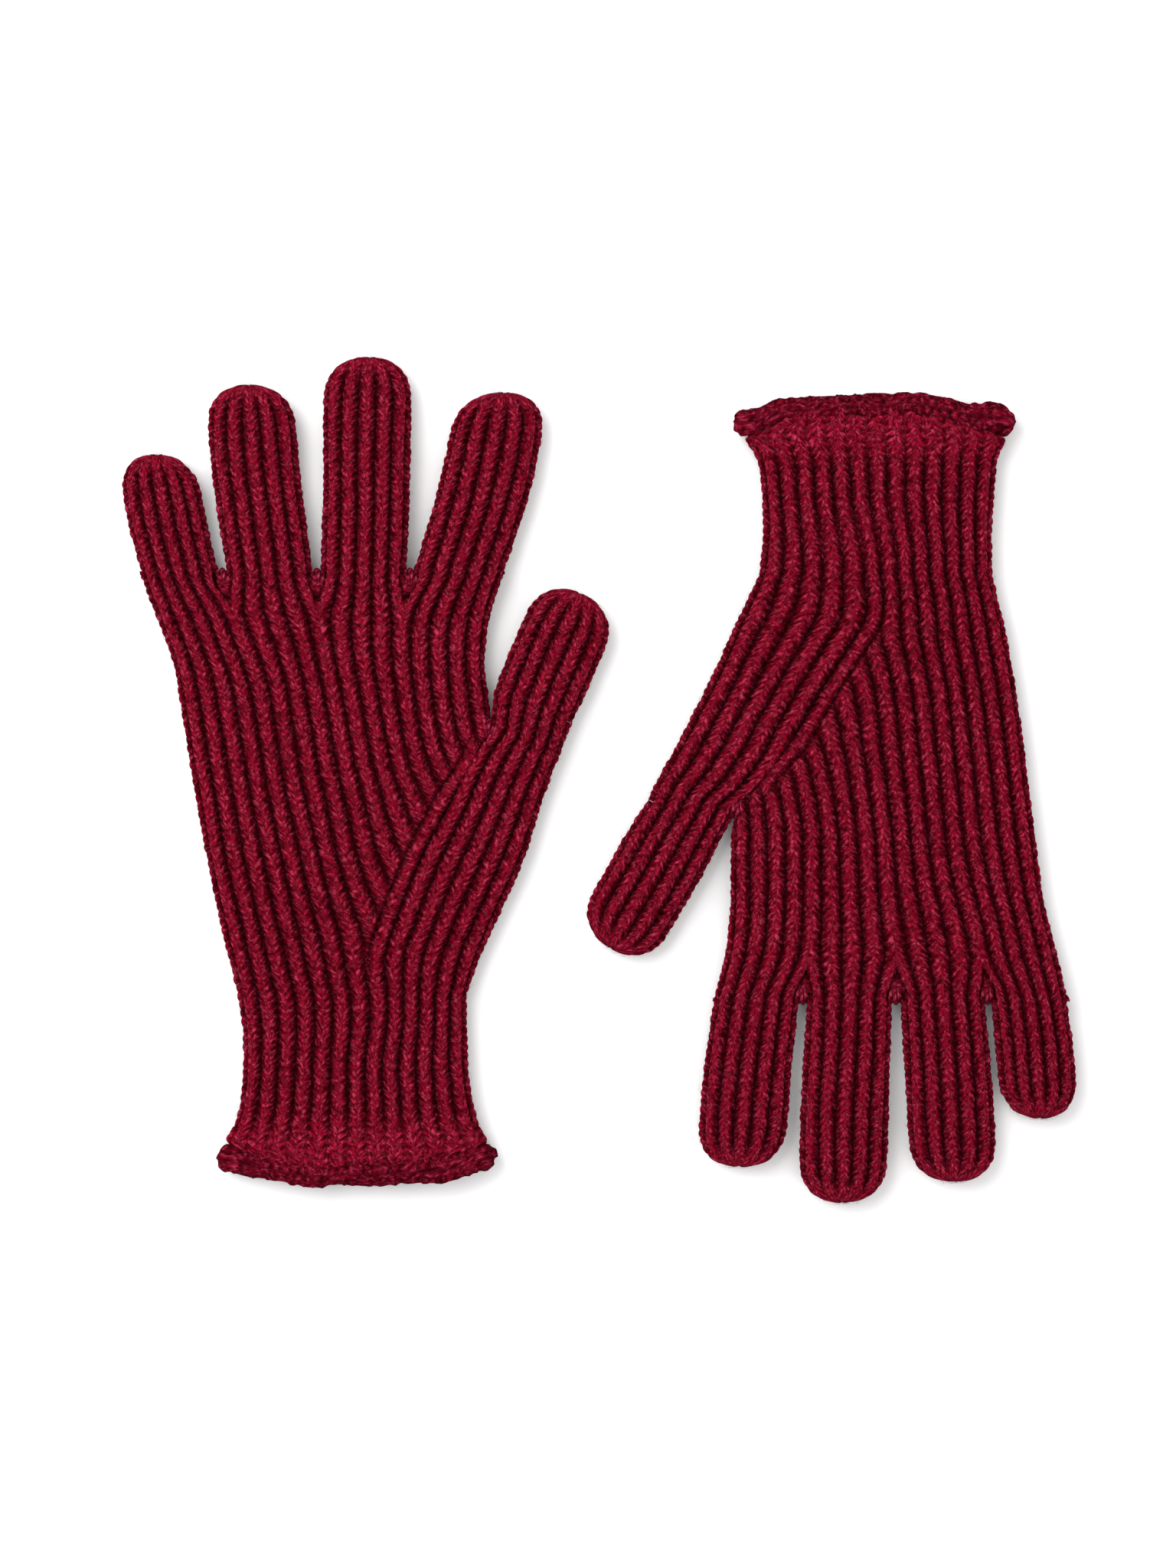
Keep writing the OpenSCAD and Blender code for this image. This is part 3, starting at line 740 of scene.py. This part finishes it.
def make_gusset(glove):
    """The tube beside the hand that leads the cuff's ribs out to the thumb's root."""
    side = glove.side
    open_left, open_right = GUSSET_OPEN[side]
    share = rows_between(0.0, open_left) / open_left
    low = np.stack([glove.hand(np.clip(share * open_left, EDGE_IN, None))[1], share * open_left], -1)
    high = np.stack([glove.gusset(np.clip(share * open_right, EDGE_IN, open_right))[1],
                     share * open_right], -1)
    low[:, 0] -= SEAM_LAP * seam_lap(low[:, 1], open_left)
    ends = [glove.thumb_place.point(edge, 0.0) for edge in glove.thumb(EDGE_IN)[:2]]
    ends = [np.array([glove.place.across_of(e), glove.place.along_of(e)]) for e in ends]
    more = rows_between(0.0, float(np.linalg.norm(ends[0] - low[-1])))[1:, None]
    more = more / more[-1]
    low = np.concatenate([low, low[-1] + (ends[0] - low[-1]) * more])
    high = np.concatenate([high, high[-1] + (ends[1] - high[-1]) * more])
    width = np.linalg.norm(high - low, axis=1)[:, None]
    columns = even_shares(width.max() / 2, MIDDLE_Z, HAND_ROUND, int(width.max() * 1.15 / CELL))
    part = (columns[None, :] + 1) / 2 + 0 * width
    x = low[:, :1] + (high - low)[:, :1] * part
    y = low[:, 1:] + (high - low)[:, 1:] * part
    level = low[:, 1:] + 0 * x
    closing = smooth(level, open_left - CREASE_END_L, open_left)
    to_thumb = smooth(level, 0.0, ends[0][1])
    full_left, full_right = glove.full_width(0.0)
    reach = (full_right - full_left) / 2 * (1 - to_thumb) + width / 2 * to_thumb
    wide = rounded_edge((1 - part) * width, reach, HAND_ROUND)
    slim = rounded_edge((1 - part) * width, reach, FINGER_ROUND)
    right_rise = wide * (1 - to_thumb) + slim * to_thumb
    left_rise = rounded_edge(part * width, width / 2, FINGER_ROUND)
    rise = right_rise * (left_rise * closing + 1 - closing)
    tall = glove.cuff(-0.001)[2] * (1 - to_thumb) + glove.thumb(0.001)[2] * to_thumb
    rise = rise * tall / 2
    walk = walked(x, y, rise)
    walk = walk / walk[:, -1:]
    walk = walk * (1 - closing) + finger_walk(columns)[None, :] * closing
    foot = STEM_RIB - THUMB_FIRST_RIB
    start = (foot + (0.5 - foot) * smooth(level, 0.0, 0.01)) * (1 - closing)
    phase = start + (FINGER_RIBS - start) * walk
    phase = phase + RIB_WANDER * wander(x, y, WANDER_L, glove.seed)
    centre = (low + high) / 2
    length = np.concatenate([[0], np.cumsum(np.linalg.norm(np.diff(centre, axis=0), axis=1))])
    glove.gusset_rows = round(length[-1] / ROW)
    along = (length / length[-1] * glove.gusset_rows * ROW)[:, None] + 0 * x

    def folded(value):
        return np.concatenate([value, value[:, ::-1][:, 1:]], 1)

    points = np.concatenate([glove.place.to_world(x, y, tall / 2 + rise),
                             glove.place.to_world(x, y, tall / 2 - rise)[:, ::-1][:, 1:]], 1)
    relief = knit_relief(folded(phase), folded(along), RIB_DEPTH, THUMB_FIRST_RIB)
    crease = (1 - smooth(folded(part * width), *CREASE_W)) * (1 - folded(closing))
    piece = knit_piece(f"{side}_thumb_gusset_knit", points, False, relief,
                       RIB_WOOL, glove.riding("hand"), crease)
    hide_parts(f"{side}_thumb_gusset")


def finger_grid(place, outline, start, tip):
    """Base points of a finger or thumb from its root to its rounded tip, with its rib numbers,
    how far each point is along it, and how deep its ribs are there."""
    dome_start = tip - DOME_L
    straight = rows_between(start, dome_start)[:-1]
    turn = np.linspace(0, math.radians(88), int(DOME_L * 1.5 / CELL))
    y_rows = np.concatenate([straight, dome_start + DOME_L * np.sin(turn)])
    narrow = np.concatenate([np.ones(len(straight)), np.cos(turn) ** (2 / DOME_ROUND)])
    left, right, top = outline(np.clip(y_rows, start + 0.0002, dome_start))
    lean = (sum(outline(dome_start)[:2]) - sum(outline(dome_start - 0.006)[:2])) / 0.012
    middle = (right + left) / 2 + lean * np.maximum(y_rows - dome_start, 0)
    half_w = (right - left) / 2 * narrow
    share = even_shares(half_w.max(), FINGER_HALF_H, FINGER_ROUND, int(half_w.max() * 2.35 / CELL))
    x = middle[:, None] + half_w[:, None] * share[None, :]
    y = y_rows[:, None] + 0 * x
    section = (1 - np.abs(share) ** FINGER_ROUND) ** (1 / FINGER_ROUND)
    mid_z = (top / 2)[:, None]
    rise = mid_z * (narrow ** 0.75)[:, None] * section[None, :]
    phase = finger_walk(share)[None, :] * FINGER_RIBS + 0 * x
    fade = smooth(y, tip - TIP_FADE[0], tip - TIP_FADE[1])
    depth = RIB_DEPTH * (1 - (1 - TIP_DEPTH) * fade)
    points = round_trip(place.to_world(x, y, mid_z + rise), place.to_world(x, y, mid_z - rise))
    return points, round_trip(phase, phase), round_trip(y, y), round_trip(depth, depth)


def make_finger(glove, name, place, outline, start, middle, tip, first_rib, along_from):
    """A finger or thumb in two pieces that share one edge."""
    points, phase, along, depth = finger_grid(place, outline, start, tip)
    across = (points - glove.place.origin) @ glove.place.across
    upward = (points - glove.place.origin) @ glove.place.along
    phase = phase + RIB_WANDER * wander(across, upward, WANDER_L, glove.seed)
    relief = knit_relief(phase, along + along_from, depth, first_rib)
    split = int(np.argmin(np.abs(along[:, 0] - (middle + MIDDLE_BEND[0]))))
    centre = sum(outline(middle)[:2]) / 2
    hand, lower, upper = f"{glove.side}_hand", f"{name}_lower", f"{name}_upper"

    def bend(below, above, joint_y, ends):
        return lambda piece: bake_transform(piece, below, above, place.point(centre, joint_y + ends[0]),
                                      place.point(centre, joint_y + ends[1]))

    for node_name, rows, binding in (
            (lower, slice(0, split + 1), bend(hand, lower, start, KNUCKLE_BEND)),
            (upper, slice(split, None), bend(lower, upper, middle, MIDDLE_BEND))):
        piece = knit_piece(f"{node_name}_knit", points[rows], True, [v[rows] for v in relief],
                           RIB_WOOL, binding, flat_end=node_name == upper)
        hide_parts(node_name)
    make_gather(name, place, points[-1])


def yarn_loop(name, path, radius, seed):
    """A closed loop of two-ply yarn along a path of points."""
    way = unit(np.roll(path, -1, 0) - np.roll(path, 1, 0))
    nearly_up = np.array([0.13, 0.21, 0.97])
    side = unit(np.cross(way, nearly_up))
    other = np.cross(way, side)
    length = np.concatenate([[0], np.cumsum(np.linalg.norm(np.diff(path, axis=0), axis=1))])
    around = np.linspace(0, 2 * math.pi, 14, endpoint=False)[None, :]
    twist = np.cos(2 * around + 2 * math.pi * length[:, None] / TWIST_L)
    rough = wander(length[:, None] + 0 * around, around * radius, 0.0005, seed)
    reach = radius * (1 + 0.14 * twist + 0.08 * rough)
    points = (path[:, None] + reach[..., None] * (side[:, None] * np.cos(around)[..., None]
                                                  + other[:, None] * np.sin(around)[..., None]))
    # Painted shade: the yarn is darker in the groove between its two plies.
    shade_and_tone = np.clip(0.75 + 0.3 * twist, 0, 1)
    run = np.stack([length[:, None] + 0 * twist, around * radius + 0 * twist, 0 * twist + seed], -1)
    points, shade_and_tone, run = (np.concatenate([v, v[:1]], 0) for v in (points, shade_and_tone, run))
    return grid_object(name, points[:, ::-1], True, shade_and_tone, run, YARN)


def make_gather(name, place, last_row):
    """The yarn that draws the last stitches of a fingertip together."""
    centre = last_row.mean(0) - place.along * GATHER_INSET
    angle = np.linspace(0, 2 * math.pi, 60, endpoint=False)[:, None]
    ring = (centre + place.across * GATHER_W / 2 * np.cos(angle)
            + UP * GATHER_H / 2 * np.sin(angle)
            + place.along * GATHER_WAVE * np.cos(3 * angle))
    piece = yarn_loop(f"{name}_tip_gather", ring, GATHER_R, 7)
    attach(piece, f"{name}_upper")
    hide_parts(f"{name}_tip_tie")


def make_darning(glove, name, node_name, x, y, turn):
    """Three darned stitches side by side that close the gap between two tubes."""
    low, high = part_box(node_name)
    middle_z = (low[2] + high[2]) / 2
    angle = np.linspace(0, 2 * math.pi, 48, endpoint=False)
    for k in (-1, 0, 1):
        along = y + DARN_L / 2 * np.cos(angle) - 0.0006 * abs(k)
        across = x + DARN_STEP * k + 0.0005 * np.sin(angle) * turn + 0.0004 * k * np.cos(angle)
        height = middle_z + (DARN_H / 2 - 0.0004 * abs(k)) * np.sin(angle)
        strand = glove.place.to_world(across, along, height)
        piece = yarn_loop(f"{name}_strand_{k + 1}", strand, DARN_R, 12 + k)
        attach(piece, f"{glove.side}_hand")
        if k == -1:
            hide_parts(node_name)


def make_joins(glove):
    """The darning in the three gaps between the fingers and at the thumb's root."""
    side = glove.side
    for k in range(3):
        name = f"{side}_{FINGERS[k]}_{FINGERS[k + 1]}"
        make_darning(glove, f"{name}_darning", f"{name}_join", glove.gaps[k],
                     glove.knuckle - DARN_BELOW["knuckle"], 1)
    open_left = GUSSET_OPEN[side][0]
    make_darning(glove, f"{side}_thumb_darning", f"{side}_thumb_join",
                 glove.hand(open_left)[1], open_left - DARN_BELOW["thumb"], -1)


def make_rolled_edge(glove):
    """The edge of the cuff, rolled over on itself round the mouth, with its ragged purl side out."""
    side = glove.side
    name = f"{side}_cuff_edge"
    co = corners_of(name) - glove.place.origin
    x, y, z = co @ glove.place.across, co @ glove.place.along, co[:, 2]
    middle, half_w = (x.min() + x.max()) / 2, (x.max() - x.min()) / 2
    half_h = (z.max() - ROLL_T) / 2
    flat = half_w - ROLL_T / 2 - half_h
    centre_y = float(y[x > x.max() - 0.002].mean()) + EAR_LIFT
    bend = math.pi * half_h
    corners = np.cumsum([0, bend, 2 * flat, bend, 2 * flat])
    walk = np.linspace(0, corners[-1], int(corners[-1] / CELL))
    facing = np.interp(walk, corners, np.radians([-90, 90, 90, 270, 270]))
    loop_x = np.interp(walk, corners, [flat, flat, -flat, -flat, flat]) + half_h * np.cos(facing)
    loop_z = half_h * np.sin(facing)
    ear = smooth(np.abs(loop_x), flat - 0.004, flat + half_h)
    bow = glove.mouth_bow + EAR_LIFT
    loop_y = centre_y - bow * (1 - (loop_x / (half_w - ROLL_T / 2)) ** 2)
    join = smooth(np.minimum(walk, corners[-1] - walk), 0, 0.01)
    stray = ROLL_WAVE * wander(walk, 0 * walk, 0.009, glove.seed + 40)
    swell = ROLL_SWELL * wander(walk, 0 * walk + 1, 0.0045, glove.seed + 41)
    loop_y = loop_y + (stray + EAR_LIFT * ear) * join
    size = 1.02 + (swell + 0.02 * ear) * join
    around = np.linspace(0, 2 * math.pi, ROLL_SIDES, endpoint=False)[None, :]
    out = ROLL_T / 2 * np.cos(around) * size[:, None]
    face_x, face_z = np.cos(facing)[:, None], np.sin(facing)[:, None]
    points = glove.place.to_world(middle + loop_x[:, None] + out * face_x,
                                  loop_y[:, None] + ROLL_L / 2 * np.sin(around) * size[:, None],
                                  z.max() / 2 + loop_z[:, None] + out * face_z)
    turn = around * 0.0026 + 0 * walk[:, None]
    line = walk[:, None] + 0 * around
    shift = np.floor(turn / PURL_ROW) * 0.5
    bumps = (1 + np.cos(2 * math.pi * (line / PURL_L + shift))) / 2
    ridges = (1 - np.cos(2 * math.pi * turn / PURL_ROW)) / 2
    lumpy = wander(line, turn, 0.0018, glove.seed + 42)
    fall = 0.0011 * (1 - bumps * ridges) - 0.0005 * lumpy - 0.0003
    # Painted shade: the roll darkens where its surface falls between the purl bumps.
    shade_and_tone = np.clip(1.0 - fall / 0.0016, 0.1, 1)
    yarn = np.stack([line, turn, 0 * turn], -1)
    piece = knit_piece(f"{side}_rolled_edge", points[:, ::-1], True,
                       (fall[:, ::-1], shade_and_tone[:, ::-1], yarn[:, ::-1]), EDGE_WOOL,
                       glove.riding("cuff"))
    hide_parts(name)


def make_glove(side):
    glove = Glove(side)
    make_rolled_edge(glove)
    make_cuff(glove)
    make_hand(glove)
    make_gusset(glove)
    for k, finger in enumerate(FINGERS):
        base = f"{side}_{finger}"
        make_finger(glove, base, glove.place, glove.fingers[k], glove.knuckle - OVERLAP,
                    glove.middles[k], glove.place.end_of(f"{base}_upper"), RIBS_APART * k, 0.0)
    make_finger(glove, f"{side}_thumb", glove.thumb_place, glove.thumb, 0.0, glove.thumb_middle,
                glove.thumb_place.end_of(f"{side}_thumb_upper"), THUMB_FIRST_RIB,
                glove.gusset_rows * ROW)
    make_joins(glove)


# ---------------------------------------------------------------- stage, camera and light

def make_floor():
    bpy.ops.mesh.primitive_plane_add(size=8, location=(0, 0, -0.0002))
    floor = bpy.context.object
    floor.name = "floor"
    material = bpy.data.materials.new("pale_floor")
    material.use_nodes = True
    shader = material.node_tree.nodes["Principled BSDF"]
    shader.inputs["Base Color"].default_value = (0.86, 0.86, 0.86, 1)
    shader.inputs["Roughness"].default_value = 0.9
    floor.data.materials.append(material)


def make_camera():
    """Straight down from high above, as the gloves were laid out."""
    seen_h, height = 0.4638, 1.5
    data = bpy.data.cameras.new("camera")
    data.sensor_width = 36
    data.lens = 36 * height / seen_h
    camera = bpy.data.objects.new("camera", data)
    camera.location = (-0.0034, -0.00125, height + 0.008)
    bpy.context.scene.collection.objects.link(camera)
    bpy.context.scene.camera = camera


def add_area(name, place, size, power):
    """A square area light that faces the gloves."""
    data = bpy.data.lights.new(name, "AREA")
    data.size, data.energy = size, power
    light = bpy.data.objects.new(name, data)
    light.location = place
    light.rotation_mode = "QUATERNION"
    light.rotation_quaternion = (-Vector(place)).to_track_quat("-Z", "Y")
    bpy.context.scene.collection.objects.link(light)


def make_light():
    bpy.context.scene.view_settings.view_transform = "Standard"
    add_area("key", (-0.75, 0.55, 1.0), 1.2, 20)
    add_area("fill", (1.2, -0.5, 1.8), 2.2, 13)
    world = bpy.data.worlds.new("studio")
    bpy.context.scene.world = world
    world.use_nodes = True
    world.node_tree.nodes["Background"].inputs["Color"].default_value = (1, 1, 1, 1)
    world.node_tree.nodes["Background"].inputs["Strength"].default_value = 0.9


make_camera()
make_floor()
make_light()
for glove_side in GLOVES:
    make_glove(glove_side)
